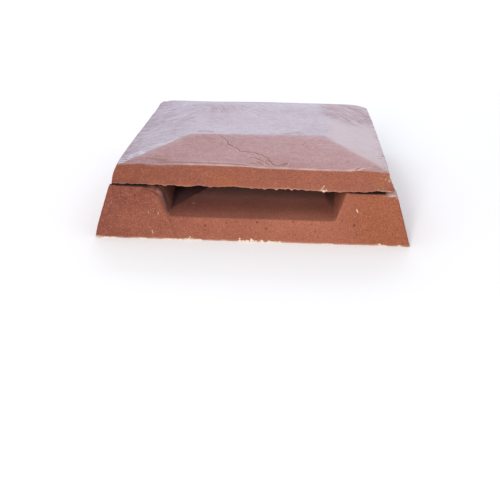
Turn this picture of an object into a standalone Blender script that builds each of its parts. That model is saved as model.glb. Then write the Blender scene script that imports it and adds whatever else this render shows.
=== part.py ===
import bmesh
import bpy
from math import radians

# Vented chimney cap, two castings of red pigmented concrete laid dry one on the other.
# The base is a low hipped block with a square flue up its middle and an air channel from its
# front mouth to its back mouth, open at the top. The cover slab roofs the channel and the flue.
# Metres, +Z up, front towards -Y. The origin is the centre of the underside.

# Vent base, outside
BASE_FOOT = 0.316
BASE_HEAD = 0.286
BASE_HEIGHT = 0.050

# Flue and air channel. The channel's walls lean out, and its floor falls to both mouths.
FLUE_SIDE = 0.122
SILL_HEIGHT = 0.022
CHANNEL_FLOOR_WIDTH = 0.162
CHANNEL_HEAD_WIDTH = 0.183
CHANNEL_FALL = 0.010

# Cover slab: an upright rim, four slopes and a flat square top
COVER_INSET = 0.002
RIM_HEIGHT = 0.019
RIM_DRAFT = 0.007
SLOPE_RUN = 0.062
SLOPE_RISE = 0.015

# Where the slab lies on the base, a little back and left of its middle
COVER_BACK = 0.004
COVER_LEFT = 0.001
SEAT_GAP = 0.0003

# Rounding of the cast edges
HIP_ROUND = 0.006
SHOULDER_ROUND = 0.003
MOUTH_ROUND = 0.0025
RIM_CORNER_ROUND = 0.007
RIM_TOP_ROUND = 0.003
RIDGE_ROUND = 0.008
ROUND_SEGMENTS = 4

CUT_PAST = 0.010
TOUCH = 0.00005

CONCRETE_RED = (0.376, 0.118, 0.075, 1.0)
CONCRETE_RED_BLOOMED = (0.410, 0.180, 0.150, 1.0)


def clear_scene():
    for leftover in list(bpy.data.objects):
        bpy.data.objects.remove(leftover, do_unlink=True)


def new_collection(name):
    collection = bpy.data.collections.new(name)
    bpy.context.scene.collection.children.link(collection)
    return collection


def concrete(name, colour, roughness):
    material = bpy.data.materials.new(name)
    material.use_nodes = True
    shader = material.node_tree.nodes["Principled BSDF"]
    shader.inputs["Base Color"].default_value = colour
    shader.inputs["Roughness"].default_value = roughness
    shader.inputs["Metallic"].default_value = 0.0
    material.diffuse_color = colour
    return material


def object_from(bm, name, collection):
    bmesh.ops.recalc_face_normals(bm, faces=bm.faces)
    mesh = bpy.data.meshes.new(name)
    bm.to_mesh(mesh)
    bm.free()
    made = bpy.data.objects.new(name, mesh)
    collection.objects.link(made)
    return made


def square_block(foot, head, low, high):
    # A cube drawn out to a square foot at one height and a square head at another.
    bm = bmesh.new()
    bmesh.ops.create_cube(bm, size=1.0)
    for vert in bm.verts:
        at_head = vert.co.z > 0
        side = head if at_head else foot
        vert.co.x *= side
        vert.co.y *= side
        vert.co.z = high if at_head else low
    return bm


def channel_cutter(collection):
    # The front half, open at the middle plane, and its mirror image. A wall at height z stands
    # half the floor's width out from the middle, and leans out by the splay above the sill.
    splay = (CHANNEL_HEAD_WIDTH - CHANNEL_FLOOR_WIDTH) / 2 / (BASE_HEIGHT - SILL_HEIGHT)
    mouth = BASE_FOOT / 2 + CUT_PAST
    fall_per_length = CHANNEL_FALL / (BASE_FOOT / 2)
    bm = bmesh.new()
    bmesh.ops.create_cube(bm, size=1.0)
    for vert in bm.verts:
        across = 1 if vert.co.x > 0 else -1
        at_middle = vert.co.y > 0
        floor = SILL_HEIGHT + CHANNEL_FALL
        if not at_middle:
            floor -= fall_per_length * mouth
        height = BASE_HEIGHT + CUT_PAST if vert.co.z > 0 else floor
        vert.co.x = across * (CHANNEL_FLOOR_WIDTH / 2 + splay * (height - SILL_HEIGHT))
        vert.co.y = 0.0 if at_middle else -mouth
        vert.co.z = height
    middle = [face for face in bm.faces if all(vert.co.y == 0.0 for vert in face.verts)]
    bmesh.ops.delete(bm, geom=middle, context="FACES")
    cutter = object_from(bm, "channel_cutter", collection)
    mirror = cutter.modifiers.new("back_half", "MIRROR")
    mirror.use_axis = (False, True, False)
    mirror.use_clip = True
    mirror.merge_threshold = TOUCH
    return cutter


def flue_cutter(collection):
    bm = square_block(FLUE_SIDE, FLUE_SIDE, -CUT_PAST, BASE_HEIGHT + CUT_PAST)
    return object_from(bm, "flue_cutter", collection)


def cut(target, cutter):
    cutter.display_type = "WIRE"
    cutter.hide_render = True
    boolean = target.modifiers.new(cutter.name, "BOOLEAN")
    boolean.operation = "DIFFERENCE"
    boolean.solver = "EXACT"
    boolean.object = cutter


def keep_cuts(target):
    # The cut shape becomes the object's own mesh, so that its new edges can be rounded.
    seen = target.evaluated_get(bpy.context.evaluated_depsgraph_get())
    cut_mesh = bpy.data.meshes.new_from_object(seen)
    target.modifiers.clear()
    target.data = cut_mesh


def round_edges(target, radius_of):
    # Each edge gets its own radius, as a share of the largest.
    radii = {}
    bm = bmesh.new()
    bm.from_mesh(target.data)
    bmesh.ops.dissolve_limit(bm, angle_limit=radians(0.5), verts=bm.verts, edges=bm.edges)
    weights = bm.edges.layers.float.new("bevel_weight_edge")
    for edge in bm.edges:
        radii[edge] = radius_of(edge)
    widest = max(radii.values())
    for edge, radius in radii.items():
        edge[weights] = radius / widest
    bm.to_mesh(target.data)
    bm.free()
    bevel = target.modifiers.new("cast_edges", "BEVEL")
    bevel.limit_method = "WEIGHT"
    bevel.width = widest
    bevel.segments = ROUND_SEGMENTS
    target.data.shade_smooth()
    target.data.set_sharp_from_angle(angle=radians(30))


def ends_of(edge):
    return edge.verts[0].co, edge.verts[1].co


def base_edge_radius(edge):
    start, end = ends_of(edge)
    middle = (start + end) / 2
    if max(start.z, end.z) < TOUCH or edge.calc_face_angle_signed() < radians(5):
        return 0.0
    if abs(abs(middle.x) - abs(middle.y)) < TOUCH and abs(middle.x) > CHANNEL_HEAD_WIDTH / 2:
        return HIP_ROUND
    along_outside = max(abs(middle.x), abs(middle.y)) > BASE_HEAD / 2 - TOUCH
    if along_outside and min(start.z, end.z) > BASE_HEIGHT - TOUCH:
        return SHOULDER_ROUND
    return MOUTH_ROUND


def cover_edge_radius(edge):
    start, end = ends_of(edge)
    low, high = sorted((start.z, end.z))
    rim_top = BASE_HEIGHT + SEAT_GAP + RIM_HEIGHT
    if high < rim_top - TOUCH:
        return 0.0
    if low < rim_top - TOUCH:
        return RIM_CORNER_ROUND
    if high < rim_top + TOUCH:
        return RIM_TOP_ROUND
    return RIDGE_ROUND


def vent_base(parts, cutters):
    base = object_from(square_block(BASE_FOOT, BASE_HEAD, 0.0, BASE_HEIGHT), "vent_base", parts)
    cut(base, channel_cutter(cutters))
    cut(base, flue_cutter(cutters))
    keep_cuts(base)
    round_edges(base, base_edge_radius)
    base.data.materials.clear()
    base.data.materials.append(concrete("base_concrete", CONCRETE_RED, 0.90))


def cover_slab(parts):
    # The rim is drawn in from the slab's foot, and the slopes are drawn up from the rim.
    foot = BASE_HEAD - 2 * COVER_INSET
    rim = foot - 2 * RIM_DRAFT
    low = BASE_HEIGHT + SEAT_GAP
    bm = square_block(foot, rim, low, low + RIM_HEIGHT)
    top = max(bm.faces, key=lambda face: face.calc_center_median().z)
    raised = bmesh.ops.extrude_discrete_faces(bm, faces=[top])["faces"][0]
    for vert in raised.verts:
        vert.co.x *= (rim - 2 * SLOPE_RUN) / rim
        vert.co.y *= (rim - 2 * SLOPE_RUN) / rim
        vert.co.z += SLOPE_RISE
    cover = object_from(bm, "cover_slab", parts)
    round_edges(cover, cover_edge_radius)
    cover.location = (-COVER_LEFT, COVER_BACK, 0.0)
    cover.data.materials.append(concrete("cover_concrete", CONCRETE_RED_BLOOMED, 0.85))


def build():
    clear_scene()
    parts = new_collection("chimney_cap")
    cutters = new_collection("cutters")
    vent_base(parts, cutters)
    cover_slab(parts)


build()
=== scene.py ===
import math

import bmesh
import bpy
import numpy as np
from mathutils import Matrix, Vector


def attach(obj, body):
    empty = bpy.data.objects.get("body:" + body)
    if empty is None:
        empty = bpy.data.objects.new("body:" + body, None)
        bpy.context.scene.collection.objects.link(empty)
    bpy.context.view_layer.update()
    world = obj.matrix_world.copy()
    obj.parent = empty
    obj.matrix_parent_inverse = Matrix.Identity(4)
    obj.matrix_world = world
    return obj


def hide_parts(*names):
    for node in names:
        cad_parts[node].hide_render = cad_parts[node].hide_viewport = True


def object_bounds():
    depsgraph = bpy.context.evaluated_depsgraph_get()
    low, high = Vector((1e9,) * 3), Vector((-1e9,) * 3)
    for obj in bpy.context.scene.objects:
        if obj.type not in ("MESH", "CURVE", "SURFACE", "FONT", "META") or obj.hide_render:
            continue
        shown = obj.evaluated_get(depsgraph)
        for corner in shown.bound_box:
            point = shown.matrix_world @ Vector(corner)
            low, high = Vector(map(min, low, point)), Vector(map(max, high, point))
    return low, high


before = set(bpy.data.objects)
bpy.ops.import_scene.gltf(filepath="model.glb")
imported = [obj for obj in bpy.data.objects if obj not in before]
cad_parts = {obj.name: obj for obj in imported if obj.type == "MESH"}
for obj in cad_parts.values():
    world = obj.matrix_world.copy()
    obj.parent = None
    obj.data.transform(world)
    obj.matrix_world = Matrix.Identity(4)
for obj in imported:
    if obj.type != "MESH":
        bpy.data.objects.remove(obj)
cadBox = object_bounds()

# A vented chimney cap of two castings in red pigmented concrete: a hipped base with an air
# channel through it, and a loose hipped slab that roofs it. The front looks towards -Y.
# Shapes below are worked out in millimetres, in the frame's own axes.

mm = 0.001


def linearColour(hexCode):
    # sRGB hex to the linear colour that a shader takes
    parts = [int(hexCode[i:i + 2], 16) / 255 for i in (1, 3, 5)]
    return [p / 12.92 if p <= 0.04045 else ((p + 0.055) / 1.055) ** 2.4 for p in parts] + [1.0]


def addNode(tree, kind, values=None):
    # a value is a setting of the node, a number or hex colour for a socket, or an output to link
    node = tree.nodes.new("ShaderNode" + kind)
    for key, value in (values or {}).items():
        if isinstance(key, str) and hasattr(node, key):
            setattr(node, key, value)
        elif isinstance(value, bpy.types.NodeSocket):
            tree.links.new(value, node.inputs[key])
        else:
            node.inputs[key].default_value = linearColour(value) if isinstance(value, str) else value
    return node


# Fields on arrays of points

def latticeNoise(points, size, seed):
    # smooth noise from -1 to 1 whose lumps are about `size` millimetres across
    cells = 40
    lattice = np.random.default_rng(seed).uniform(-1, 1, (cells, cells, cells))
    scaled = points / size
    corner = np.floor(scaled).astype(int)
    t = scaled - corner
    t = t * t * (3 - 2 * t)
    total = np.zeros(len(points))
    for dx in (0, 1):
        for dy in (0, 1):
            for dz in (0, 1):
                weight = np.abs(1 - dx - t[:, 0]) * np.abs(1 - dy - t[:, 1]) * np.abs(1 - dz - t[:, 2])
                cell = (corner + (dx, dy, dz)) % cells
                total += weight * lattice[cell[:, 0], cell[:, 1], cell[:, 2]]
    return total


def ramp(values, start, end):
    # 0 at start, 1 at end, smooth between them; start may be the larger one
    t = np.clip((values - start) / (end - start), 0, 1)
    return t * t * (3 - 2 * t)


def bell(values, width):
    # 1 at zero, falling to a third at the width
    return np.exp(-(values / width) ** 2)


def along(values, stations):
    # a value read off a line of (place, value) stations
    return np.interp(values, [s[0] for s in stations], [s[1] for s in stations])


def pathDistance(points, path):
    # distance in plan from each point to a line of (x, y) stations, and the side it lies on
    nearest = np.full(len(points), 1e9)
    side = np.zeros(len(points))
    for start, end in zip(path[:-1], path[1:]):
        start, end = np.array(start, float), np.array(end, float)
        run = end - start
        offset = points[:, :2] - start
        share = np.clip(offset @ run / (run @ run), 0, 1)
        gap = np.linalg.norm(offset - share[:, None] * run, axis=1)
        cross = run[0] * offset[:, 1] - run[1] * offset[:, 0]
        closer = gap < nearest
        nearest[closer] = gap[closer]
        side[closer] = np.sign(cross[closer])
    return nearest, side


def layers(points, noises):
    # a sum of noises, each as (height, lump size, seed)
    return sum(height * latticeNoise(points, size, seed) for height, size, seed in noises)


def blot(across, up, spot):
    # a soft patch, given as (place across, place up, reach across, reach up, strength)
    atX, atY, reachX, reachY, strength = spot
    return strength * np.exp(-((across - atX) / reachX) ** 2 - ((up - atY) / reachY) ** 2)


# Meshes

def applyModifiers(work):
    seen = work.evaluated_get(bpy.context.evaluated_depsgraph_get())
    mesh = bpy.data.meshes.new_from_object(seen)
    work.modifiers.clear()
    work.data = mesh


def meshPoints(mesh):
    flat = np.zeros(len(mesh.vertices) * 3)
    mesh.vertices.foreach_get("co", flat)
    return flat.reshape(-1, 3) / mm


def meshNormals(mesh):
    flat = np.zeros(len(mesh.vertices) * 3)
    mesh.vertices.foreach_get("normal", flat)
    return flat.reshape(-1, 3)


def setPoints(mesh, points):
    mesh.vertices.foreach_set("co", (points * mm).astype(np.float32).ravel())
    mesh.update()


def setMask(mesh, name, values):
    mask = mesh.attributes.new(name, "FLOAT", "POINT")
    mask.data.foreach_set("value", np.clip(values, 0, 1).astype(np.float32))


def fineMesh(node, net, hidden, hiddenShare):
    # the solid's own form with an even net of small faces, and only a share of them where
    # `hidden` says so: undersides and seats that nothing shows
    work = bpy.data.objects.new("work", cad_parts[node].data.copy())
    bpy.context.scene.collection.objects.link(work)
    remesh = work.modifiers.new("net", "REMESH")
    remesh.mode = "VOXEL"
    remesh.voxel_size = net * mm
    applyModifiers(work)
    group = work.vertex_groups.new(name="hidden")
    for index in np.nonzero(hidden(meshPoints(work.data)))[0]:
        group.add([int(index)], 1.0, "REPLACE")
    decimate = work.modifiers.new("coarsen", "DECIMATE")
    decimate.vertex_group = "hidden"
    decimate.ratio = hiddenShare
    applyModifiers(work)
    work.vertex_groups.clear()
    return work


def refine(work, wanted, passes):
    # halves the edges where `wanted` says so, as often as asked, for fine lines
    for step in range(passes):
        bm = bmesh.new()
        bm.from_mesh(work.data)
        middles = np.array([(e.verts[0].co + e.verts[1].co) / 2 for e in bm.edges]) / mm
        edges = [edge for edge, pick in zip(bm.edges, wanted(middles, step)) if pick]
        bmesh.ops.subdivide_edges(bm, edges=edges, cuts=1, use_grid_fill=True)
        bmesh.ops.triangulate(bm, faces=[f for f in bm.faces if len(f.verts) > 4])
        bm.to_mesh(work.data)
        bm.free()


def face(x, y, z, through):
    # a flat face as its outward normal and its distance from the origin along it
    normal = np.array((x, y, z), float)
    normal /= np.linalg.norm(normal)
    return normal, normal @ np.array(through, float)


def sharpen(points, faceA, faceB, reach, share, upwards=1):
    # draws a rounded edge out towards the line where its two faces meet
    (normalA, offsetA), (normalB, offsetB) = faceA, faceB
    outward = (normalA + normalB) * (1, 1, upwards)
    outward /= np.linalg.norm(outward)
    depthA = offsetA - points @ normalA
    depthB = offsetB - points @ normalB
    least, most = np.minimum(depthA, depthB), np.maximum(depthA, depthB)
    near = ramp(most, reach, 0.6 * reach) * ramp(least, 3.2, 2.3) * (least > -0.4)
    lift = np.maximum(least, 0) * near * share / (normalA @ outward)
    return points + lift[:, None] * outward


def wearDown(points, faces, radius):
    # rounds the edges and the corner between faces to a radius that may differ from point to point
    depths = [offset - points @ normal for normal, offset in faces]
    inner = [np.maximum(radius - depth, 0) for depth in depths]
    length = np.sqrt(sum(value ** 2 for value in inner))
    over = np.maximum(length - radius, 0) / np.maximum(length, 0.001) * (np.min(depths, 0) > -0.6)
    return points - sum((value * over)[:, None] * normal for value, (normal, _) in zip(inner, faces))


def finishPiece(work, name, node, material):
    lowest, highest = (np.array(corner) / mm for corner in cadBox)
    setPoints(work.data, np.clip(meshPoints(work.data), lowest, highest))
    work.name = name
    work.data.name = name
    work.data.materials.clear()
    work.data.materials.append(material)
    work.data.shade_smooth()
    work.data.calc_loop_triangles()
    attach(work, "root")
    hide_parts(node)
    pointCount, triangleCount = len(work.data.vertices), len(work.data.loop_triangles)
    print(name, "has", pointCount, "points and", triangleCount, "triangles")


# Cast concrete: cement, sand and iron oxide pigment, struck from a mould. The cement skin is matt,
# the sand shows in it as light and dark grains, and small air holes are left open, painted dark as
# the shade inside them.

castFace = {
    "skin": "#a3634d", "skinDeep": "#955543", "skinPale": "#ad715c", "shade": "#794235",
    "ochre": "#945437", "grainDark": "#6f3d2d", "grainPale": "#c89577", "crumb": "#e0d3bd",
    "lip": "#d8b199", "holeAndSeamShade": "#2d1613", "bloomAndPaintedLight": "#c3a9a6", "paintedShadow": "#5b3b3c", "pitShade": "#5b2f26",
    "grainSize": 1.0, "blotchSize": 40, "dustSize": 5, "pitSpacing": 6.5,  # mm
    "pitEdge": (0.115, 0.075), "pitStrength": 0.8,  # shares of the spacing
    "darkGrains": 0.65, "paleGrains": 0.36,  # how strongly each kind of grain shows
    "roughness": 0.9, "ior": 1.5, "specular": 0.3, "bump": 0.45, "bumpDepth": 0.5,
}


def sandFields(tree, place, look):
    # sand of about 0.5 mm, drawn at twice its size because less doesn't show, and the clouds in it
    fields = {}
    for name, detail, roughness in (("grain", 1.0, 0.5), ("dust", 5.0, 0.7), ("blotch", 3.0, 0.5)):
        scale = 1 / (look[name + "Size"] * mm)
        noise = addNode(tree, "TexNoise", {"Scale": scale, "Detail": detail, "Roughness": roughness,
                                           "Vector": place})
        fields[name] = noise.outputs["Fac"]
    shares = {"skinDeep": ("blotch", 0.62, 0.4, 0.5), "skinPale": ("dust", 0.5, 0.75, 0.4),
              "grainDark": ("grain", 0.46, 0.30, look["darkGrains"]),
              "grainPale": ("grain", 0.58, 0.74, look["paleGrains"])}
    for coat, (name, start, end, most) in shares.items():
        fields[coat] = addNode(tree, "MapRange", {"Value": fields[name], "From Min": start,
                                                  "From Max": end, "To Max": most}).outputs[0]
    return fields


def airPits(tree, place, look):
    # pinholes of about 1 mm where air lay against the mould, painted dark as the shade inside them
    cells = addNode(tree, "TexVoronoi", {"Scale": 1 / (look["pitSpacing"] * mm), "Vector": place})
    rim, middle = look["pitEdge"]
    return addNode(tree, "MapRange", {"Value": cells.outputs["Distance"], "From Min": rim,
                                      "From Max": middle, "To Max": look["pitStrength"]}).outputs[0]


def masksOf(tree, names):
    return {name: addNode(tree, "Attribute", {"attribute_name": name}).outputs["Fac"] for name in names}


def layCoats(tree, look, coats):
    # each coat's colour goes over the ones before it, by its own amount
    colour = look["skin"]
    for coat, amount in coats:
        colour = addNode(tree, "Mix", {"data_type": "RGBA", 0: amount, 6: colour,
                                       7: look[coat]}).outputs[2]
    return colour


def castConcrete(look):
    material = bpy.data.materials.new("castConcrete")
    material.use_nodes = True
    tree = material.node_tree
    shader = tree.nodes["Principled BSDF"]
    place = addNode(tree, "TexCoord").outputs["Object"]
    sand = sandFields(tree, place, look)
    pits = airPits(tree, place, look)
    mask = masksOf(tree, ("shade", "ochre", "bloomAndPaintedLight", "paintedShadow", "holes", "lip", "crumbs"))
    coats = [("skinDeep", sand["skinDeep"]), ("shade", mask["shade"]), ("ochre", mask["ochre"]),
             ("skinPale", sand["skinPale"]), ("grainDark", sand["grainDark"]),
             ("grainPale", sand["grainPale"]), ("bloomAndPaintedLight", mask["bloomAndPaintedLight"]), ("paintedShadow", mask["paintedShadow"]),
             ("pitShade", pits), ("holeAndSeamShade", mask["holes"]), ("lip", mask["lip"]), ("crumb", mask["crumbs"])]
    tree.links.new(layCoats(tree, look, coats), shader.inputs["Base Color"])
    shader.inputs["Roughness"].default_value = look["roughness"]
    shader.inputs["IOR"].default_value = look["ior"]
    shader.inputs["Specular IOR Level"].default_value = look["specular"]
    raised = addNode(tree, "Math", {"operation": "ADD", 0: sand["grain"], 1: sand["dust"]}).outputs[0]
    height = addNode(tree, "Math", {"operation": "SUBTRACT", 0: raised, 1: pits}).outputs[0]
    bump = addNode(tree, "Bump", {"Strength": look["bump"], "Distance": look["bumpDepth"] * mm,
                                  "Height": height})
    tree.links.new(bump.outputs["Normal"], shader.inputs["Normal"])
    return material


# The slab's top was closed with a steel trowel, which leaves fine strokes and a slight gloss, and
# lime has bloomed on it since as a thin grey-lilac veil, painted thicker on the faces seen at a grazing
# angle: part bloom, part painted reflection of the bright sky. Its rim is as the mould left it.

trowelFace = {
    "skin": "#995c48", "skinDeep": "#8c513f", "skinPale": "#a86f5a", "shade": "#7d4534",
    "grainDark": "#6b3a2a", "grainPale": "#c9977b", "crumb": "#eadcc6", "stain": "#a35a30",
    "lip": "#c89a84", "darkLinesAndShade": "#4f2d2b", "bloomAndPaintedLight": "#bdb7c1", "frontBloom": "#b79597",
    "blush": "#8f6767", "scuff": "#85727f", "brightBloomAndReflection": "#d6d1dd", "warmBloom": "#c8b2ac",
    "paleLineAndHighlight": "#dcbcb2", "grit": "#ae7f56",
    "grainSize": 1.2, "blotchSize": 36, "dustSize": 6,  # mm
    "darkGrains": 0.65, "paleGrains": 0.2,  # how strongly each kind of grain shows
    "strokeLength": 16, "strokeWidth": 1.8, "strokeHeight": 33.3, "bendSize": 90,  # mm
    "bend": 0.035, "strokeAngle": 4, "hatchAngle": 38,
    # how the bloom is broken and the darker coats keep to strokes: field, from, to, least, most
    "worn": ("stroke", 0.30, 0.55, 0.76, 1.0), "patchy": ("dust", 0.3, 0.6, 0.70, 1.0),
    "sandy": ("grain", 0.32, 0.55, 0.64, 1.0), "hatched": ("hatch", 0.42, 0.56, 0.2, 1.0),
    "cut": ("stroke", 0.50, 0.40, 0.0, 0.9),
    "topRoughness": 0.6, "rimRoughness": 0.92, "ior": 1.5, "specular": 0.4,
    "bump": 0.3, "bumpDepth": 0.4, "sheen": 0.2, "sheenTint": "#c9cdf2", "sheenRoughness": 0.4,
}


def trowelStrokes(tree, place, look, angle):
    # strokes of the trowel in bent sweeps, as long and as wide as one corner of it cuts
    bent = addNode(tree, "TexNoise", {"Scale": 1 / (look["bendSize"] * mm), "Detail": 0.0,
                                      "Vector": place})
    swept = addNode(tree, "MixRGB", {"blend_type": "LINEAR_LIGHT", 0: look["bend"], 1: place,
                                     2: bent.outputs["Color"]}).outputs[0]
    turned = addNode(tree, "Mapping", {"Vector": swept, "Rotation": (0, 0, math.radians(angle))})
    sizes = (look["strokeLength"], look["strokeWidth"], look["strokeHeight"])
    scale = [1 / (size * mm) for size in sizes]
    drawn = addNode(tree, "Mapping", {"Vector": turned.outputs["Vector"], "Scale": scale})
    return addNode(tree, "TexNoise", {"Scale": 1.0, "Detail": 4.0, "Roughness": 0.65,
                                      "Vector": drawn.outputs["Vector"]}).outputs["Fac"]


def trowelledConcrete(look):
    material = bpy.data.materials.new("trowelledConcrete")
    material.use_nodes = True
    tree = material.node_tree
    shader = tree.nodes["Principled BSDF"]
    place = addNode(tree, "TexCoord").outputs["Object"]
    sand = sandFields(tree, place, look)
    mask = masksOf(tree, ("top", "shade", "bloomAndPaintedLight", "bright", "warm", "frontBloom", "blush", "scuff",
                          "paleLineAndHighlight", "darkLinesAndShade", "lip", "stain", "grit", "crumbs"))
    stroke = trowelStrokes(tree, place, look, look["strokeAngle"])
    hatch = trowelStrokes(tree, place, look, look["hatchAngle"])
    fields = {"stroke": stroke, "hatch": hatch, "dust": sand["dust"], "grain": sand["grain"]}
    share = {}
    for name in ("worn", "patchy", "sandy", "hatched", "cut"):
        field, low, high, least, most = look[name]
        share[name] = addNode(tree, "MapRange", {"Value": fields[field], "From Min": low, "From Max": high,
                                                 "To Min": least, "To Max": most}).outputs[0]
    broken = share["worn"]
    for name in ("patchy", "sandy"):
        broken = addNode(tree, "Math", {"operation": "MULTIPLY", 0: broken, 1: share[name]}).outputs[0]
    veil = {}
    for name, by in (("bloomAndPaintedLight", broken), ("frontBloom", broken), ("blush", share["hatched"]),
                     ("scuff", share["cut"])):
        veil[name] = addNode(tree, "Math", {"operation": "MULTIPLY", 0: mask[name], 1: by}).outputs[0]
    coats = [("skinDeep", sand["skinDeep"]), ("shade", mask["shade"]), ("skinPale", sand["skinPale"]),
             ("grainDark", sand["grainDark"]), ("grainPale", sand["grainPale"]),
             ("stain", mask["stain"]), ("grit", mask["grit"]), ("frontBloom", veil["frontBloom"]),
             ("bloomAndPaintedLight", veil["bloomAndPaintedLight"]), ("brightBloomAndReflection", mask["bright"]), ("warmBloom", mask["warm"]),
             ("blush", veil["blush"]), ("scuff", veil["scuff"]),
             ("paleLineAndHighlight", mask["paleLineAndHighlight"]), ("darkLinesAndShade", mask["darkLinesAndShade"]), ("lip", mask["lip"]),
             ("crumb", mask["crumbs"])]
    tree.links.new(layCoats(tree, look, coats), shader.inputs["Base Color"])
    gloss = addNode(tree, "MapRange", {"Value": mask["top"], "To Min": look["rimRoughness"],
                                       "To Max": look["topRoughness"]}).outputs[0]
    tree.links.new(gloss, shader.inputs["Roughness"])
    shader.inputs["IOR"].default_value = look["ior"]
    shader.inputs["Specular IOR Level"].default_value = look["specular"]
    shader.inputs["Sheen Weight"].default_value = look["sheen"]
    shader.inputs["Sheen Tint"].default_value = linearColour(look["sheenTint"])
    shader.inputs["Sheen Roughness"].default_value = look["sheenRoughness"]
    height = addNode(tree, "Math", {"operation": "ADD", 0: sand["grain"], 1: stroke}).outputs[0]
    bump = addNode(tree, "Bump", {"Strength": look["bump"], "Distance": look["bumpDepth"] * mm,
                                  "Height": height})
    tree.links.new(bump.outputs["Normal"], shader.inputs["Normal"])
    return material


# The slab. Lines on its top are (x, y) stations seen from above, and the arris and the lip are
# (x, height) stations along the front. Noises are (height, lump size, seed), and spots are
# (x, y, reach along x, reach along y, strength).

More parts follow.
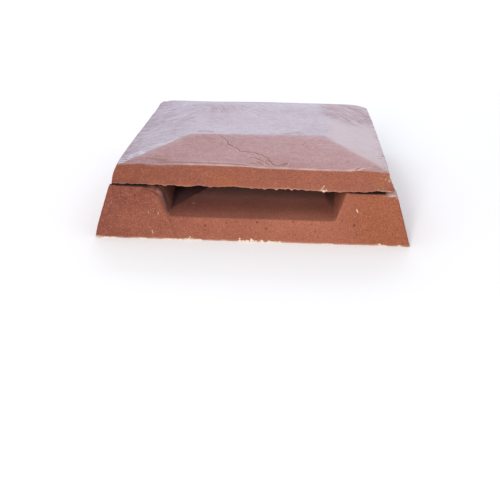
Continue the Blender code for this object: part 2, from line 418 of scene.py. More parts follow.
slab = {
    "node": "cover_slab", "net": 1.55, "hiddenShare": 0.08,  # mm, and the share kept out of sight
    "middle": (-1.0, 4.0), "foot": 50.3, "rimTop": 69.3, "top": 84.3, "flatHalf": 72.0,
    "rimRise": 19, "rimDraft": 7, "slopeRise": 15, "slopeRun": 62,
    "rimSides": [(0, -1, 130), (0, 1, 138), (-1, 0, 135), (1, 0, 133)],  # front, back, left, right
    "rimCorners": [(0, 2, 0.8), (0, 3, 0.7), (1, 2, 0.1)],  # two of those sides, and how sharp
    "arrisReach": 4.5, "arrisShare": 0.75, "cornerReach": 10,
    # how far the wear and the mould's own faults move each part, in mm
    "leftOut": 1.2, "leftBulge": 2.4, "rightFootIn": 2.6, "rightFlankIn": 1.2, "rightHeadOut": 1.2,
    "backUp": 1.9, "backBow": 0.7, "backLeftUp": 0.3, "backRightDown": 1.6, "backOut": 2.8,
    "backCornersDown": (1.2, 1.9), "backCornersIn": 1.5,
    "flatEdgeBack": 4.2, "flatEdgeSkew": 1.3,
    "waves": [(0.20, 55, 1), (0.12, 16, 2)], "sand": [(0.08, 2.6, 3), (0.06, 5.5, 4)],
    "sandOnRim": 1.7, "sandLostOnTop": 0.9, "strokeRelief": 0.10, "skinLoss": 0.2,
    "cornerWear": 0.9, "cornerCrumble": [(0.9, 4, 6), (0.7, 2, 7)], "wornCorner": (140, -137, 15, 15, 1),
    "hollow": 1.3, "lipDrop": 0.3, "lipRagged": [(0.35, 6, 9), (0.55, 2.2, 10)],
    "arris": [(-134, 68.6), (-124, 69.4), (-114, 70.5), (-104, 69.7), (-94, 69.1), (-84, 69.8),
              (-54, 70.2), (-24, 69.8), (-14, 69.9), (-4, 69.3), (6, 68.6), (36, 68.4), (56, 68.0),
              (76, 67.8), (95, 67.9), (105, 69.1), (115, 68.6), (125, 67.5), (133, 67.0)],
    "leftLean": [(-137, 0.8), (-118, 1.8), (-75, 2.4), (-28, 2.4), (25, 1.7), (85, 1.1), (138, 0.5)],
    "lip": [(-141, 50.2), (-124, 50.1), (-114, 49.9), (-104, 49.8), (-94, 49.6), (-84, 49.9),
            (-78, 49.7), (-69, 48.9), (-54, 50.1), (-43, 48.9), (-31, 49.3), (-17, 50.2), (-9, 48.9),
            (5, 48.5), (25, 49.0), (48, 48.8), (58, 48.2), (76, 48.0), (88, 48.2), (95, 48.8),
            (112, 48.9), (122, 49.6), (129, 49.2), (139, 48.6)],
    "lipForward": [(40, 0.0), (70, 1.6), (95, 2.4), (112, 2.0), (139, 0.6)],
    "nibs": [(23, 1.0), (32, 0.9), (38, 1.2), (70, 1.2), (-62, 0.7), (-88, 0.6), (11, 0.7), (84, 0.6)],
    "crack": [(-41, -70), (-35, -76), (-32, -80), (-29, -89), (-24, -92), (-19, -96), (-16, -101),
              (-6, -102), (-1, -102), (2, -105), (6, -106), (10, -110), (14, -115), (17, -118),
              (18, -122), (21, -125), (24, -125), (27, -124), (30, -122), (34, -119)],
    "folds": [[(11, -116), (16, -119)], [(11, -121), (15, -123)],
              [(2, -119), (5, -121), (9, -125)], [(-3, -123), (4, -123)],
              [(-6, -114), (-3, -112), (1, -113), (6, -116), (12, -120)],
              [(29, -126), (33, -122)]],
    "scratches": [[(-87, 76), (-79, 72), (-71, 71)], [(-77, -12), (-75, -11), (-72, -16)],
                  [(-66, -57), (-58, -55), (-49, -58)], [(-64, -61), (-56, -59), (-48, -62)],
                  [(-26, 68), (-21, 60), (-16, 55)], [(26, -63), (35, -60), (44, -56)],
                  [(101, -128), (105, -126)], [(124, -90), (128, -88), (132, -85)],
                  [(124, -98), (129, -95)]],
    "faintLines": [[(-113, -109), (-108, -109)], [(-111, -114), (-104, -113)],
                   [(-109, -119), (-99, -119)], [(-95, 7), (-86, 4), (-78, 4)],
                   [(-15, 39), (-8, 30), (-1, 18), (6, 15)], [(11, -28), (18, -25), (24, -28)],
                   [(-68, 32), (-50, 33)], [(-67, 19), (-52, 21)], [(-92, -5), (-80, -2)],
                   [(-60, 66), (-42, 60), (-30, 62)], [(22, 48), (38, 40), (52, 42)],
                   [(-30, -28), (-12, -33), (2, -31)], [(88, 60), (104, 30)], [(96, 66), (110, 38)]],
    "grooveDark": [(-102, -126.2), (-85, -125), (-64, -125), (-37, -125.2), (-19, -126), (-4, -127.2)],
    "groovePale": [(-99, -124.4), (-85, -123.2), (-64, -123), (-37, -122.9), (-19, -124), (2, -128)],
    "rightDark": [(42, -131.2), (51, -131), (67, -130.8), (75, -131.5)],
    "rightPale": [(40, -130), (51, -129.2), (62, -129.2), (74, -130.2)],
    "burr": [(98, -131.5), (103, -129.6), (109, -126.6), (116, -124.2)],
    "specks": [(75, -40, 1.3), (51, -83, 0.8), (54, -88, 0.8), (55.5, -95, 0.8), (52, -92, 0.8),
               (49, -86, 0.7), (-124, -68, 1.4), (-118, -84, 0.8), (-112, -62, 0.8), (-126, -50, 0.8),
               (-108, -88, 0.8), (-121, -97, 0.8), (-103, -70, 0.7), (-116, -40, 0.7)],
    "chip": [(66.5, 49.2), (70.5, 49.0), (72.5, 49.7)],
    "spur": [(67.8, 50.3), (69.2, 52.3), (70.5, 54.2)],
    # relief of the lines in mm, and where the top and the rim take their colour
    "crackDepth": 0.45, "scratchDepth": 0.35, "grooveDepth": 0.4, "foldHeight": 0.25, "burrHeight": 0.3,
    "clouds": [(0.14, 42, 11), (0.08, 14, 12)],
    "blushSpots": [(-52, 50, 25.5, 22.1, 0.85), (45, -58, 14, 7, 0.4)],
    "thinBloom": (-52, -82, 30, 25, 0.22),
    "rimShade": [(-140, 1.0), (-107, 0.9), (-50, 0.5), (-10, 0.4), (70, 0.2), (100, 0)],
    "rimStain": (-26, 54, 14.4, 5, 0.4), "grittyCorner": (138, -136, 13, 13, 1),
}


def topLines(look):
    singles = ("crack", "grooveDark", "groovePale", "rightDark", "rightPale", "burr")
    return [look[name] for name in singles] + look["folds"] + look["scratches"]


def nearSlabLines(points, step):
    # the arris, the lip and a strip beside each line; the second pass takes a narrower one
    x, y, z = points.T
    wide = (2.0, 0.9)[step]
    near = (z < 54 - 2 * step) & (y < -130) & (z > 48)
    near |= (z > 64.5) & (z < 71) & (y < -126 - 2 * step)
    near |= (np.abs(x - 70) < 5) & (z < 56) & (y < -130)
    for path in topLines(slab):
        near |= (pathDistance(points, path)[0] < wide) & (z > 66)
    return near


def shapeSlab(points, normals, look):
    x, y, z = points.T
    middleX, middleY = look["middle"]
    foot, rimTop = look["foot"], look["rimTop"]
    side = np.maximum(np.abs(x - middleX), np.abs(y - middleY))
    underneath = (normals[:, 2] < -0.7) & (side < 140.2)
    onTop = ramp(z, rimTop - 2.5, rimTop + 0.5)
    moved = points.copy()

    # Edges as the mould gave them: the arris all round, and the corners of the rim
    rims = []
    for dirX, dirY, out in look["rimSides"]:
        through = (dirX * out, dirY * out, rimTop)
        rim = face(look["rimRise"] * dirX, look["rimRise"] * dirY, look["rimDraft"], through)
        slope = face(look["slopeRise"] * dirX, look["slopeRise"] * dirY, look["slopeRun"], through)
        moved = sharpen(moved, rim, slope, look["arrisReach"], look["arrisShare"])
        rims.append(rim)
    for first, second, share in look["rimCorners"]:
        moved = sharpen(moved, rims[first], rims[second], look["cornerReach"], share, 0)

    # The arris waves along the front. The left side is fuller than the right one, whose foot
    # draws in.
    atFront = bell(y + 131, 15) * ramp(z, foot + 4, rimTop)
    moved[:, 2] += (along(x, look["arris"]) - rimTop) * atFront
    toLeft = np.clip((middleX - look["flatHalf"] - x) / look["slopeRun"], 0, 1)
    moved[:, 0] -= along(y, look["leftLean"]) * toLeft * ramp(z, foot + 8, rimTop)
    moved[:, 0] -= (look["leftOut"] + look["leftBulge"] * bell(z - 60, 8)) * ramp(x, -128, -136)
    nearCorner = ramp(y, -134, -116)
    moved[:, 0] -= look["rightFootIn"] * ramp(x, 130, 136) * ramp(z, rimTop - 1, foot + 6) * nearCorner
    moved[:, 0] += look["rightHeadOut"] * ramp(x, 90, 132) * ramp(y, 125, 60)
    nearCorner = ramp(y, -134, -118)
    moved[:, 0] -= look["rightFlankIn"] * ramp(x, 126, 134) * ramp(z, rimTop, foot + 8) * nearCorner

    # The back stands higher, sags to the right, and has both corners worn round.
    back = ramp(y, 90, 136) * ramp(z, 54, rimTop)
    backRaise = look["backUp"] + look["backBow"] * bell(x - 5, 70)
    backRaise += look["backLeftUp"] * ramp(x, -70, -110) - look["backRightDown"] * ramp(x, 100, 133)
    moved[:, 2] += backRaise * back
    moved[:, 1] += look["backOut"] * back
    cornered = ramp(np.abs(x - middleX) + y - middleY, 252, 266) * ramp(z, 60, rimTop) * (y > 0)
    moved[:, 2] -= np.where(x < 0, *look["backCornersDown"]) * cornered
    moved[:, 1] -= look["backCornersIn"] * cornered
    moved[:, 0] -= look["backCornersIn"] * cornered * np.sign(x)

    # The front edge of the flat top lies further back.
    raised = ramp(z, rimTop + 2, look["top"]) * ramp(y, 30, -62)
    moved[:, 1] += (look["flatEdgeBack"] + look["flatEdgeSkew"] * x / look["flatHalf"]) * raised

    # Waves and sand on every face, strokes on the top, and a worn, crumbly right front corner
    sandShare = look["sandOnRim"] - look["sandLostOnTop"] * onTop
    strokes = look["strokeRelief"] * latticeNoise(points * (0.12, 1, 1), 4.0, 5)
    push = layers(points, look["waves"]) + layers(points, look["sand"]) * sandShare
    push += strokes * onTop - look["skinLoss"]
    push = np.where(underneath, 0.0, push)
    worn = blot(x, y, look["wornCorner"]) * (~underneath)
    push -= worn * (look["cornerWear"] + layers(points, look["cornerCrumble"]))
    moved += normals * push[:, None]

    # The underside is hollow behind the lip, which is ragged where the mould leaked.
    moved[:, 2] += look["hollow"] * underneath * ramp(side, 126, 131)
    atLip = ramp(side, 137, 140.3) * ramp(z, foot + 4, foot + 0.3)
    onFront = y < -131
    drop = np.where(onFront, foot - along(x, look["lip"]), look["lipDrop"])
    drop += layers(points, look["lipRagged"])
    for nibX, length in look["nibs"]:
        drop += length * bell(x - nibX, 1.3) * onFront
    moved[:, 2] -= (drop + look["hollow"] * underneath) * atLip
    forward = along(x, look["lipForward"]) * onFront * (side > 130)
    moved[:, 1] -= forward * ramp(z, foot + 9, foot + 1)
    return moved


def slabZones(points, moved, look):
    # how far out each point lies, its height over the arris, and how much it belongs to the top
    x, y, z = points.T
    middleX, middleY = look["middle"]
    rimTop = look["rimTop"]
    side = np.maximum(np.abs(x - middleX), np.abs(y - middleY))
    rise = moved[:, 2] - along(x, look["arris"])
    onTop = np.where(y < -122, ramp(rise, -0.8, 0.0), ramp(z, rimTop - 3.7, rimTop - 2.5))
    return side, rise, onTop


def cutLines(points, moved, look, onTop):
    # crack, folds beside it, scratches, and the grooves that the trowel cut behind the arris, with painted
    # shade in the crack, the folds and the grooves
    x, y, _ = points.T
    loose = points.copy()
    loose[:, :2] += 0.6 * np.stack([latticeNoise(points, 2.5, seed) for seed in (40, 41)], 1)
    gap, lie = pathDistance(loose, look["crack"])
    hair = 0.85 * bell(gap, 0.52) * onTop
    lifted = bell(gap - 1.2, 0.5) * (lie < 0) * onTop
    for path in look["folds"]:
        gap, lie = pathDistance(loose, path)
        hair = np.maximum(hair, 0.75 * bell(gap, 0.5) * onTop)
        lifted = np.maximum(lifted, bell(gap - 1.2, 0.6) * (lie < 0) * onTop)
    scratch = np.zeros(len(points))
    for strength, wide, paths in ((0.6, 0.6, look["scratches"]), (0.3, 0.8, look["faintLines"])):
        for path in paths:
            gap = pathDistance(loose, path)[0]
            scratch = np.maximum(scratch, strength * bell(gap, wide) * onTop)
            lifted = np.maximum(lifted, strength * bell(gap - 1.6, 0.8) * onTop)
    for speckX, speckY, size in look["specks"]:
        scratch = np.maximum(scratch, blot(x, y, (speckX, speckY, size, size, 0.7)) * onTop)
    dotted = ramp(latticeNoise(points, 3.0, 8), -0.6, 0.3)
    groove = np.zeros(len(points))
    burr = 1.4 * bell(pathDistance(points, look["burr"])[0], 0.38) * onTop
    for dark, pale in (("grooveDark", "groovePale"), ("rightDark", "rightPale")):
        groove = np.maximum(groove, bell(pathDistance(points, look[dark])[0], 0.5) * onTop * dotted)
        burr = np.maximum(burr, bell(pathDistance(points, look[pale])[0], 0.6) * onTop)
    moved[:, 2] -= look["crackDepth"] * hair + look["scratchDepth"] * scratch + look["grooveDepth"] * groove
    moved[:, 2] += look["foldHeight"] * lifted + look["burrHeight"] * burr
    # the dark lines: painted shade in the crack, folds and grooves, and dark scratches and specks
    return 0.9 * hair + scratch + 0.6 * groove, lifted, burr


def markTop(mesh, points, look, zones, lifted, burr):
    # The pale veil is painted thick on the flat top and three slopes, and thin on the front slope: part
    # lime bloom, part painted reflection of the bright sky on the faces seen at a grazing angle. The line
    # between them is sharp at the left and soft at the right.
    x, y, z = points.T
    side, rise, onTop = zones
    middleX, middleY = look["middle"]
    belowHip = middleY - y - np.abs(x - middleX)
    soft = 2.0 + 4.0 * ramp(x, -60, 40)
    front = ramp(np.minimum(belowHip, (-y - 67.5) * 1.2), -soft, soft * 0.6)
    thick = (1 - front) * onTop
    cloud = layers(points, look["clouds"]) + 0.07 * latticeNoise(points * (1, 0.5, 1), 5, 13)
    under = (z < look["foot"] + 0.5) & (side < 134)
    setMask(mesh, "top", onTop)
    setMask(mesh, "bloomAndPaintedLight", np.where(under, 0.8, (0.92 + cloud) * thick))
    # a brighter patch of the veil beside the left hip, partly painted reflection
    bright = ramp(-belowHip, 24, 3) * ramp(x, -70, -90) * (0.55 + 0.9 * latticeNoise(points, 6, 50))
    setMask(mesh, "bright", 0.7 * bright * thick)
    setMask(mesh, "warm", 0.6 * ramp(x, 68, 88) * thick)

    # Red shows through the bloom at the back right, along the left and the back, and in spots.
    backRight = ramp(np.hypot(x - 100, (y - 72) / 1.7), 46, 26) * ramp(cloud, -0.22, 0.0)
    backRight *= ramp(y, 0, 40) * ramp(x, 58, 84) * (0.85 + 0.7 * latticeNoise(points, 4, 51))
    leftEdge = ramp(x, -120, -131) * ramp(y, -118, -95) * (0.6 + latticeNoise(points, 9, 14))
    leftBack = ramp(np.hypot(x + 120, (y - 45) / 4), 20, 6) * ramp(latticeNoise(points, 7, 49), -0.5, 0.4)
    spots = [blot(x, y, spot) for spot in look["blushSpots"]]
    blush = np.max([1.15 * backRight, 0.8 * leftEdge, 0.6 * leftBack, 0.5 * ramp(y, 98, 130), *spots], 0)
    blush += 0.16 * ramp(latticeNoise(points * (0.5, 1, 1), 11, 16), 0.0, 0.7)
    setMask(mesh, "blush", blush * thick)
    scuff = ramp(x, -66, -84) * ramp(y, 125, 60) + 0.5 * ramp(y, 60, 90) * ramp(x, 40, -20)
    dusty = bell(rise + 0.2, 1.7) * ramp(x, -28, -60) * (y < -124)
    dusty *= ramp(latticeNoise(points, 4, 44), -0.7, 0.3)
    setMask(mesh, "scuff", np.maximum(scuff * thick, 0.75 * dusty))

    # The thin bloom of the front slope, streaked low at the left
    streaks = ramp(x, -60, -100) * ramp(y, -102, -118)
    streaks *= ramp(latticeNoise(points * (0.2, 1, 1), 2.6, 48), -0.1, 0.5)
    veil = 0.90 - 0.16 * ramp(y, -100, -128) + 0.7 * cloud + 0.05 * x / 100 - 0.4 * streaks
    veil += 0.13 * ramp(x, 20, 60) * ramp(y, -100, -116) - blot(x, y, look["thinBloom"])
    setMask(mesh, "frontBloom", veil * front * onTop)

    # A pale line where the arris is rubbed, and on the burrs and the lifted edges, partly a painted
    # highlight
    crest = bell(rise - 0.2, 0.55) * (y < -127) * ramp(np.abs(x + 10), 122, 106)
    rubbedAndLit = 1 - 0.8 * ramp(x, -55, -85)
    paleCrest = 0.55 * crest * (0.7 + 0.6 * latticeNoise(points, 8, 18)) * rubbedAndLit
    paleBurr = np.where(x > 20, 0.85, 0.4) * burr * rubbedAndLit * (0.8 + 0.5 * latticeNoise(points, 7, 19))
    setMask(mesh, "paleLineAndHighlight", np.max([paleCrest, paleBurr, 0.3 * lifted], 0))


def markRim(mesh, points, moved, look, zones, darkLinesAndShade):
    x, y, z = points.T
    side = zones[0]
    foot = look["foot"]
    onFront = y < -128
    setMask(mesh, "shade", along(x, look["rimShade"]))
    paleLip = 0.6 + 0.5 * latticeNoise(points, 9, 15) + 0.4 * bell(x - 40, 24) * onFront
    setMask(mesh, "lip", bell(z - foot, 1.0) * (side > 138.5) * paleLip)
    rusty = 0.22 * ramp(latticeNoise(points * (1, 1, 3), 9, 43), 0.1, 0.7)
    setMask(mesh, "stain", np.maximum(blot(x, z, look["rimStain"]), rusty) * onFront)

    # Sand stands bare at the right front corner, and the chip and the first nibs show pale cement.
    corner = blot(x, y, look["grittyCorner"]) * (z > foot + 0.5)
    setMask(mesh, "grit", 0.8 * corner * ramp(latticeNoise(points, 2.4, 17), -0.1, 0.5))
    onRim = np.stack([x, moved[:, 2], z], 1)
    chip = np.maximum(bell(pathDistance(onRim, look["chip"])[0], 0.8),
                      bell(pathDistance(onRim, look["spur"])[0], 0.4))
    chip *= 0.65 + 0.7 * latticeNoise(points, 1.3, 46)
    nibs = sum(blot(x, z, (nibX, foot, 1.1, 0.917, 1)) for nibX, _ in look["nibs"][:3])
    bareGrains = 0.5 * ramp(latticeNoise(points, 1.8, 20), 0.45, 0.7) * corner
    setMask(mesh, "crumbs", np.maximum((chip + 0.6 * nibs) * onFront, bareGrains))
    rimEnds = bell(z - look["rimTop"], 2.5) * ramp(np.abs(x + 1), 118, 130)
    darkGrains = ramp(latticeNoise(points, 1.7, 42), 0.3, 0.6) * np.maximum(corner, 0.7 * rimEnds)
    setMask(mesh, "darkLinesAndShade", darkLinesAndShade + 0.6 * darkGrains)


def makeSlab(material):
    look = slab

    def hidden(spots):
        x, y, z = spots.T
        return (z < look["foot"] + 0.8) & (np.maximum(np.abs(x), np.abs(y)) < 124)

    work = fineMesh(look["node"], look["net"], hidden, look["hiddenShare"])
    refine(work, nearSlabLines, 2)
    points, normals = meshPoints(work.data), meshNormals(work.data)
    moved = shapeSlab(points, normals, look)
    zones = slabZones(points, moved, look)
    darkLinesAndShade, lifted, burr = cutLines(points, moved, look, zones[2])
    setPoints(work.data, moved)
    markTop(work.data, points, look, zones, lifted, burr)
    markRim(work.data, points, moved, look, zones, darkLinesAndShade)
    finishPiece(work, "hipped_slab", look["node"], material)


# The base. Holes are (x, height, radius) on its front face, and more are scattered over the other
# faces. Foot crumbs are (x, height, half width), and flecks are (strength, (x, height) stations).
# Painted shadow edges are (distance from the middle, x), and the worn side is (height, x).

base = {
    "node": "vent_base", "net": 1.55, "hiddenShare": 0.10,  # mm, and the share kept out of sight
    "foot": 158.0, "head": 143.0, "height": 50.0,
    "sill": 22.0, "floorRise": 10.0, "floorHalf": 81.0, "channelHeadHalf": 91.5,
    "sillEdge": (3.2, 0.8), "shoulderEdge": (3.6, 0.8),  # reach and share of the sharpening
    "hipEdge": (9, 0.9), "mouthEdge": (3.2, 0.7),
    "wornRadius": (4.0, 6.0),  # low down, and how much more at the head
    # how far the wear and the mould's own faults move each part, in mm
    "leftOut": 1.6, "rightIn": 0.9, "rightHeadIn": 0.1, "rightShoulderIn": 2.5,
    "channelLeft": (2.4, 2.8), "channelRight": (1.2, 1.0),  # at the mouth, and how much more inside
    "waves": [(0.20, 60, 21), (0.12, 18, 22)], "sand": [(0.10, 2.6, 23), (0.08, 5.5, 24)],
    "skinLoss": 0.1, "seatSand": [(0.05, 4, 25)], "holeDepth": 0.8,
    "headLoss": 0.15, "headRagged": [(0.25, 8, 31)],
    "footRagged": [(0.30, 6, 26), (0.30, 1.8, 27)], "crumbHeight": 0.5,
    "seamRagged": [(0.5, 3, 36), (0.3, 8, 37)],
    "faceShade": [(-150, 1.0), (-120, 0.73), (-80, 0.5), (-40, 0.33), (0, 0.33), (20, 0.25),
                  (40, 0.0), (70, 0.0), (85, 0.1), (110, 0.25), (150, 0.35)],
    "frontHoles": [(-47, 21, 0.6), (-47, 15, 0.8), (-16, 19.5, 0.6), (-25, 18, 0.5), (5, 19.5, 0.9),
                   (14, 13.5, 0.8), (19, 17, 0.5), (41, 21, 0.9), (50.5, 23, 0.6), (59.5, 19, 0.6),
                   (63, 12, 0.8), (101, 19, 0.9), (114, 15, 0.6), (-122, 48, 0.7), (-139, 47, 0.6),
                   (-131, 44, 0.6), (-118, 42, 0.7), (-108, 45, 0.6), (-126, 38, 0.5), (-112, 36, 0.6),
                   (-101, 40, 0.5), (-95, 28, 0.6), (109, 44, 0.6), (99, 42, 0.5), (119, 46, 0.6)],
    "scattered": 380,  # air holes on the other three faces
    "flecks": [(1.0, [(102.3, 34.2), (103.7, 31.8)]), (0.45, [(-100.2, 8.8), (-99.2, 5.8)]),
               (0.3, [(-103.6, 27.0), (-103.0, 24.8)]), (0.3, [(-92.0, 26.2), (-91.6, 24.4)])],
    "floorSpeck": (-62.8, -117.0, 1, 1, 0.6),  # a spot, as on the slab
    "footCrumbs": [(-147, 1.3, 4), (-139, 0.9, 5), (-110, 0.9, 6), (-84, 0.9, 7), (-74, 1.2, 6),
                   (-66, 1.8, 3), (-62, 4.0, 2.2), (-60, 2.2, 3.5), (-53, 1.6, 5), (-12, 3.8, 1.6),
                   (-9, 1.6, 4), (-4, 2.4, 2.5), (0, 4.6, 1.4), (3, 2.4, 3), (10, 2.8, 2.2),
                   (17, 2.2, 2.6), (22, 1.2, 5), (28, 2.6, 1.8), (75, 0.8, 8), (127, 3.4, 1.6),
                   (131, 1.2, 4), (147, 1.8, 2)],
    "frontWear": [(-143, 0.0), (-120, 0.1), (-104, 0.6), (90, 1.5), (105, 1.9), (118, 1.7), (143, 1.9)],
    "wornSide": [(22, -82), (27.8, -88.5), (31.6, -89.5), (35.4, -92), (39.2, -94), (42, -94.5),
                 (43.9, -96), (45.8, -99), (47.6, -104), (50, -112)],
    "leftShadowEdge": [(50, -44), (76, -53.7), (86, -58.5), (98, -66), (109, -71.5), (119, -76.5), (130, -80),
                  (147, -84), (158, -85)],
    "rightShadowEdge": [(50, 68), (80, 72.5), (97, 74.5), (110, 76), (120, 79), (132, 83), (158, 86)],
}


def leanOf(look):
    # how far the outer faces draw in for each millimetre of height
    return (look["foot"] - look["head"]) / look["height"]


def baseZones(points, look):
    # how far out each point lies, and whether it is on the underside
    x, y, z = points.T
    reach = np.maximum(np.abs(x), np.abs(y))
    return reach, (z < 0.6) & (reach < look["foot"] - 1)


def shapeBase(points, normals, look):
    x, y, z = points.T
    height, sill, foot = look["height"], look["sill"], look["foot"]
    lean = leanOf(look)
    splay = (look["channelHeadHalf"] - look["floorHalf"]) / (height - sill)
    reach, under = baseZones(points, look)
    seat = (z > height - 0.6) & (reach < 139)

    # Sharp edges, as the mould gives: hips, sills, shoulders and the sides of both mouths, but
    # the left side of the front mouth is worn round.
    moved = points.copy()
    head = face(0, 0, 1, (0, 0, height))
    for sideY in (-1, 1):
        outer = face(0, sideY, lean, (0, sideY * foot, 0))
        floor = face(0, sideY * look["floorRise"] / foot, 1, (0, 0, sill + look["floorRise"]))
        moved = sharpen(moved, outer, floor, *look["sillEdge"])
        moved = sharpen(moved, outer, head, *look["shoulderEdge"])
        for sideX in (-1, 1):
            flank = face(sideX, 0, lean, (sideX * foot, 0, 0))
            wall = face(-sideX, 0, splay, (sideX * look["floorHalf"], 0, sill))
            moved = sharpen(moved, outer, flank, *look["hipEdge"])
            if (sideX, sideY) == (-1, -1):
                nearMouth = ramp(x, -118, -98) * (y < -120)
                lowRadius, more = look["wornRadius"]
                radius = nearMouth * (lowRadius + more * ramp(z, 28, 47))
                moved = wearDown(moved, (outer, wall, head), radius)
            else:
                moved = sharpen(moved, outer, wall, *look["mouthEdge"])

    # The left flank is fuller, the right one draws in, and the channel widens inwards.
    moved[:, 0] -= look["leftOut"] * (1 - np.exp(-z / 5)) * ramp(x, -134, -143)
    headIn = look["rightHeadIn"] + look["rightShoulderIn"] * ramp(y, -128, -95)
    moved[:, 0] -= (look["rightIn"] + headIn * z / height) * ramp(x, 130, 142)
    inChannel = ramp(np.abs(x), 110, 92) * ramp(np.abs(x), 75, 80) * ramp(z, sill - 3, sill)
    leftMouth, leftMore = look["channelLeft"]
    rightMouth, rightMore = look["channelRight"]
    deepLeft = leftMouth + leftMore * ramp(-np.abs(y), -145, -84)
    deepRight = rightMouth + rightMore * ramp(-np.abs(y), -140, -84)
    moved[:, 0] += np.where(x < 0, -deepLeft, deepRight) * inChannel

    # Waves, sand and air holes on every face but the underside, and a smoother seat
    push = layers(points, look["waves"]) + layers(points, look["sand"]) - look["skinLoss"]
    push = np.where(under, 0.0, push)
    push = np.where(seat, layers(points, look["seatSand"]) - look["skinLoss"], push)
    holes = airHoles(points, look)
    push -= look["holeDepth"] * holes
    moved += normals * push[:, None]

    # The head is lower outside its seat, by more along the right of the front.
    drop = look["headLoss"] + along(x, look["frontWear"]) * ramp(y, -130, -137)
    drop += layers(points, look["headRagged"])
    moved[:, 2] -= np.maximum(drop, 0) * ramp(z, height - 4, height - 1) * ramp(reach, 128, 133)
    return moved, holes


def airHoles(points, look):
    x, y, z = points.T
    lean = leanOf(look)
    holes = np.zeros(len(points))
    rng = np.random.default_rng(7)
    spots = [(holeX, lean * holeZ - look["foot"], holeZ, radius)
             for holeX, holeZ, radius in look["frontHoles"]]
    for _ in range(look["scattered"]):
        holeZ = rng.uniform(4, 47)
        across = rng.uniform(-145, 145)
        out = look["foot"] - lean * holeZ
        turn = rng.integers(1, 4)  # 1 back, 2 left, 3 right
        spotX, spotY = {1: (across, out), 2: (-out, across), 3: (out, across)}[int(turn)]
        radius = rng.choice((0.8, 1.0, 1.4), p=(0.7, 0.25, 0.05))
        spots.append((spotX, spotY, holeZ, radius))
    for spotX, spotY, spotZ, radius in spots:
        nearby = (np.abs(x - spotX) < 4) & (np.abs(y - spotY) < 4) & (np.abs(z - spotZ) < 4)
        close = np.nonzero(nearby)[0]
        gap = np.linalg.norm(points[close] - (spotX, spotY, spotZ), axis=1)
        holes[close] = np.maximum(holes[close], bell(gap, 0.85 * radius))
    return holes


def layCrumbs(points, normals, moved, look):
    # the lower edge is ragged, with crumbs of pale cement left on it
    x, y, z = points.T
    reach, under = baseZones(points, look)
    onFront = y < -look["foot"] + 8
    ragged = np.clip(layers(points, look["footRagged"]), 0.0, 0.3)
    moved[:, 2] += ragged * ramp(reach, 153, 157.5) * ramp(z, 3, 0)
    crumbs = np.zeros(len(points))
    for crumbX, tall, wide in look["footCrumbs"]:
        crumbs = np.maximum(crumbs, blot(x, z, (crumbX, 0, wide, tall, 1)) * onFront)
    elsewhere = ramp(latticeNoise(points * (1, 1, 0.5), 9, 28), 0.35, 0.8)
    elsewhere *= bell(z, 1.6) * (reach > 150) * ~onFront
    crumbs = np.maximum(crumbs, 0.8 * elsewhere)
    lumps = 0.5 + 0.5 * latticeNoise(points, 1.1, 29)
    crumbs = ramp(crumbs * (0.25 + 1.2 * lumps), 0.36, 0.5)
    moved += normals * (look["crumbHeight"] * crumbs * lumps * ~under)[:, None]
    return crumbs


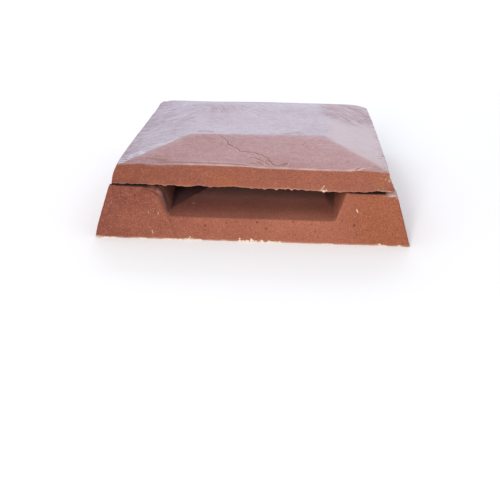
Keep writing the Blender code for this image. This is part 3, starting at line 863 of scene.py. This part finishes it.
def markBase(mesh, points, normals, moved, holes, crumbs, look):
    x, y, z = points.T
    height, foot = look["height"], look["foot"]
    reach = baseZones(points, look)[0]
    behindFront = y - (leanOf(look) * z - foot)

    # Painted shadow darkens the seat's edge in the joint under the slab's lip.
    outward = reach + layers(points, look["seamRagged"])
    slabEdge = np.where(x < 0, 141.3, 140.7)
    inSeam = (y < -134) & (x < 131)
    lipShadow = np.where(inSeam, ramp(outward, slabEdge, slabEdge - 1), 0.35 * ramp(outward, 142, 139))
    seamEnds = np.where(x < 0, ramp(x, -98, -110), ramp(x, 133, 130) * ramp(x, 88, 101))
    seamShadow = lipShadow * seamEnds * ((normals[:, 2] > 0.6) & (z > height - 3) & (reach > 128))
    # the air holes are painted near black, as the shade inside them
    setMask(mesh, "holes", np.maximum(0.85 * holes, seamShadow))

    # Pale lip along the foot, crumbs above it, and a few pale flecks
    setMask(mesh, "lip", bell(z, 1.3) * (reach > 156) * (0.65 + 0.6 * latticeNoise(points, 7, 30)))
    onFace = np.stack([x, z, z], 1)
    for strength, path in look["flecks"]:
        fleck = strength * bell(pathDistance(onFace, path)[0], 0.45) * (behindFront < 2)
        crumbs = np.maximum(crumbs, fleck)
    crumbs = np.maximum(crumbs, blot(x, y, look["floorSpeck"]) * (z < 30))
    setMask(mesh, "crumbs", crumbs)

    # Painted shadow and shade darken both edges of the channel's floor, all of it a little, and the worn
    # side of the mouth, where shade falls under the slab.
    inward = foot - np.abs(y)
    inside = (z > look["sill"] - 1) & (np.abs(x) < 93) & (reach < foot)
    onFloor = inside & (normals[:, 2] > 0.8) & (z < 36)
    onWall = inside * (normals[:, 2] < 0.8) * (x < 0) * ramp(behindFront, 1, 4)
    leftEdge = along(np.abs(y), look["leftShadowEdge"]) + 0.8 * latticeNoise(points, 5, 45)
    rightEdge = along(np.abs(y), look["rightShadowEdge"])
    shadowWedge = np.maximum(ramp(x - leftEdge, 1.6, -1.0) * ramp(inward, 14, 34),
                       0.75 * ramp(x - rightEdge, -3, 3) * ramp(inward, 30, 52))
    paintedShadow = np.maximum(shadowWedge, 0.16 + 0.1 * ramp(inward, 15, 40)) * onFloor
    pastWorn = moved[:, 0] - along(moved[:, 2], look["wornSide"])
    onWorn = (y < -130) & (x < -79) & (z > 25)
    setMask(mesh, "paintedShadow", np.maximum(paintedShadow, 0.9 * onWorn * ramp(pastWorn, -3, 6)))

    # The face is darker to the left, and browner to the right.
    shade = along(x, look["faceShade"]) + 0.12 * latticeNoise(points, 25, 32)
    shade += 0.25 * ramp(x, -90, -110) * ramp(z, 18, 36)
    # the channel's left wall is kept out of this darker tone, which paints it lighter
    setMask(mesh, "shade", shade * (1 - onWall))
    setMask(mesh, "ochre", 0.7 * ramp(x, 72, 120))

    # Lime has dried on the shoulder. The same pale coat on the channel's left wall, and deep on the
    # channel's floor, is painted light.
    shoulder = ramp(z, height - 4, height - 1.5) * ramp(reach, 139, 142) * (1 - seamShadow)
    shoulder *= np.where(y < -134, 0.9 * ramp(x, 124, 133), 1)
    facing = np.maximum(normals[:, 0], normals[:, 2]) > 0.5
    rightLedge = ramp(z, height - 8, height - 2) * ramp(x, 130, 136) * facing
    deepFloorLight = onFloor * ramp(inward, 35, 85) * (1 - shadowWedge)
    limeAndPaintedLight = np.max([shoulder * (0.35 + 0.35 * latticeNoise(points, 10, 33)),
                   rightLedge * (0.75 + 0.3 * latticeNoise(points, 3, 47)),
                   0.12 * onWall, 0.32 * deepFloorLight], 0)
    setMask(mesh, "bloomAndPaintedLight", limeAndPaintedLight)


def makeBase(material):
    look = base
    lean = leanOf(look)

    def hidden(spots):
        x, y, z = spots.T
        reach = np.maximum(np.abs(x), np.abs(y))
        under = (z < 0.8) & (reach < 150)
        seat = (z > look["height"] - 0.8) & (reach < 122)
        flue = (z < 24) & (reach < 62)
        return under | seat | flue

    def nearBaseLines(spots, step):
        # the foot, the head of the front, and each hole and fleck in it
        x, y, z = spots.T
        near = (y < -153) & (z < 4.6 - step) | (y < -134) & (z > 46.5) & (step < 1)
        flecks = [(*path[0], 3.0) for _, path in look["flecks"]]
        for holeX, holeZ, radius in look["frontHoles"] + flecks:
            gap = np.hypot(x - holeX, (z - holeZ) * 1.05)
            near |= (gap < radius + 1.2) & (y < lean * z - look["foot"] + 2)
        return near

    work = fineMesh(look["node"], look["net"], hidden, look["hiddenShare"])
    refine(work, nearBaseLines, 2)
    points, normals = meshPoints(work.data), meshNormals(work.data)
    moved, holes = shapeBase(points, normals, look)
    crumbs = layCrumbs(points, normals, moved, look)
    setPoints(work.data, moved)
    markBase(work.data, points, normals, moved, holes, crumbs, look)
    finishPiece(work, "hipped_vent_base", look["node"], material)


# Stage: a pale floor, a soft light from the front left, a paler sky above and blue light behind

studio = {
    "floorRadius": 9.0, "floorColour": "#fdfdfc", "floorRoughness": 0.9, "floorSpecular": 0.1,
    "horizon": "#f2f4f8", "zenith": "#eef1f8", "horizonStrength": 0.49, "zenithStrength": 0.90,
    "key": {"at": (-0.57, -2.12, 0.84), "aim": (0, 0, 0.04), "size": (0.25, 0.9),
            "watts": 31, "colour": "#fff6ee"},
    "skyCard": {"at": (0.0, 2.6, 1.25), "aim": (0, 0, 0.06), "size": (2.6, 1.2),
                "watts": 39, "colour": "#e6e8f6"},
    "cameraAt": (0.03704, -0.83785, 0.29930),  # m, from the fit to the photograph's corners
    "cameraTurn": (65.677, -0.462, 3.451), "focal": 53.64, "sensorWidth": 36,
}


def areaLight(name, look):
    light = bpy.data.lights.new(name, "AREA")
    light.shape = "RECTANGLE"
    light.size, light.size_y = look["size"]
    light.energy = look["watts"]
    light.color = linearColour(look["colour"])[:3]
    lamp = bpy.data.objects.new(name, light)
    lamp.location = look["at"]
    aim = Vector(look["aim"]) - Vector(look["at"])
    lamp.rotation_euler = aim.to_track_quat("-Z", "Y").to_euler()
    lamp.visible_camera = False
    bpy.context.scene.collection.objects.link(lamp)


def makeStage():
    bm = bmesh.new()
    bmesh.ops.create_circle(bm, cap_ends=True, segments=96, radius=studio["floorRadius"])
    mesh = bpy.data.meshes.new("floor")
    bm.to_mesh(mesh)
    bm.free()
    floor = bpy.data.objects.new("floor", mesh)
    bpy.context.scene.collection.objects.link(floor)
    material = bpy.data.materials.new("paleFloor")
    material.use_nodes = True
    shader = material.node_tree.nodes["Principled BSDF"]
    shader.inputs["Base Color"].default_value = linearColour(studio["floorColour"])
    shader.inputs["Roughness"].default_value = studio["floorRoughness"]
    shader.inputs["Specular IOR Level"].default_value = studio["floorSpecular"]
    mesh.materials.append(material)

    world = bpy.data.worlds.new("softRoom")
    bpy.context.scene.world = world
    world.use_nodes = True
    tree = world.node_tree
    up = addNode(tree, "SeparateXYZ", {0: addNode(tree, "TexCoord").outputs["Generated"]}).outputs["Z"]
    height = addNode(tree, "MapRange", {"Value": up, "From Min": 0.0, "From Max": 0.8}).outputs[0]
    tint = addNode(tree, "Mix", {"data_type": "RGBA", 0: height, 6: studio["horizon"],
                                 7: studio["zenith"]}).outputs[2]
    strength = addNode(tree, "MapRange", {"Value": height, "To Min": studio["horizonStrength"],
                                          "To Max": studio["zenithStrength"]}).outputs[0]
    background = tree.nodes["Background"]
    tree.links.new(tint, background.inputs["Color"])
    tree.links.new(strength, background.inputs["Strength"])
    for name in ("key", "skyCard"):
        areaLight(name, studio[name])
    bpy.context.scene.view_settings.view_transform = "Standard"


def makeCamera():
    camera = bpy.data.cameras.new("camera")
    camera.lens = studio["focal"]
    camera.sensor_width = studio["sensorWidth"]
    eye = bpy.data.objects.new("camera", camera)
    eye.location = studio["cameraAt"]
    eye.rotation_euler = [math.radians(a) for a in studio["cameraTurn"]]
    bpy.context.scene.collection.objects.link(eye)
    bpy.context.scene.camera = eye


makeCamera()
makeStage()
print("stage ready")
makeSlab(trowelledConcrete(trowelFace))
makeBase(castConcrete(castFace))
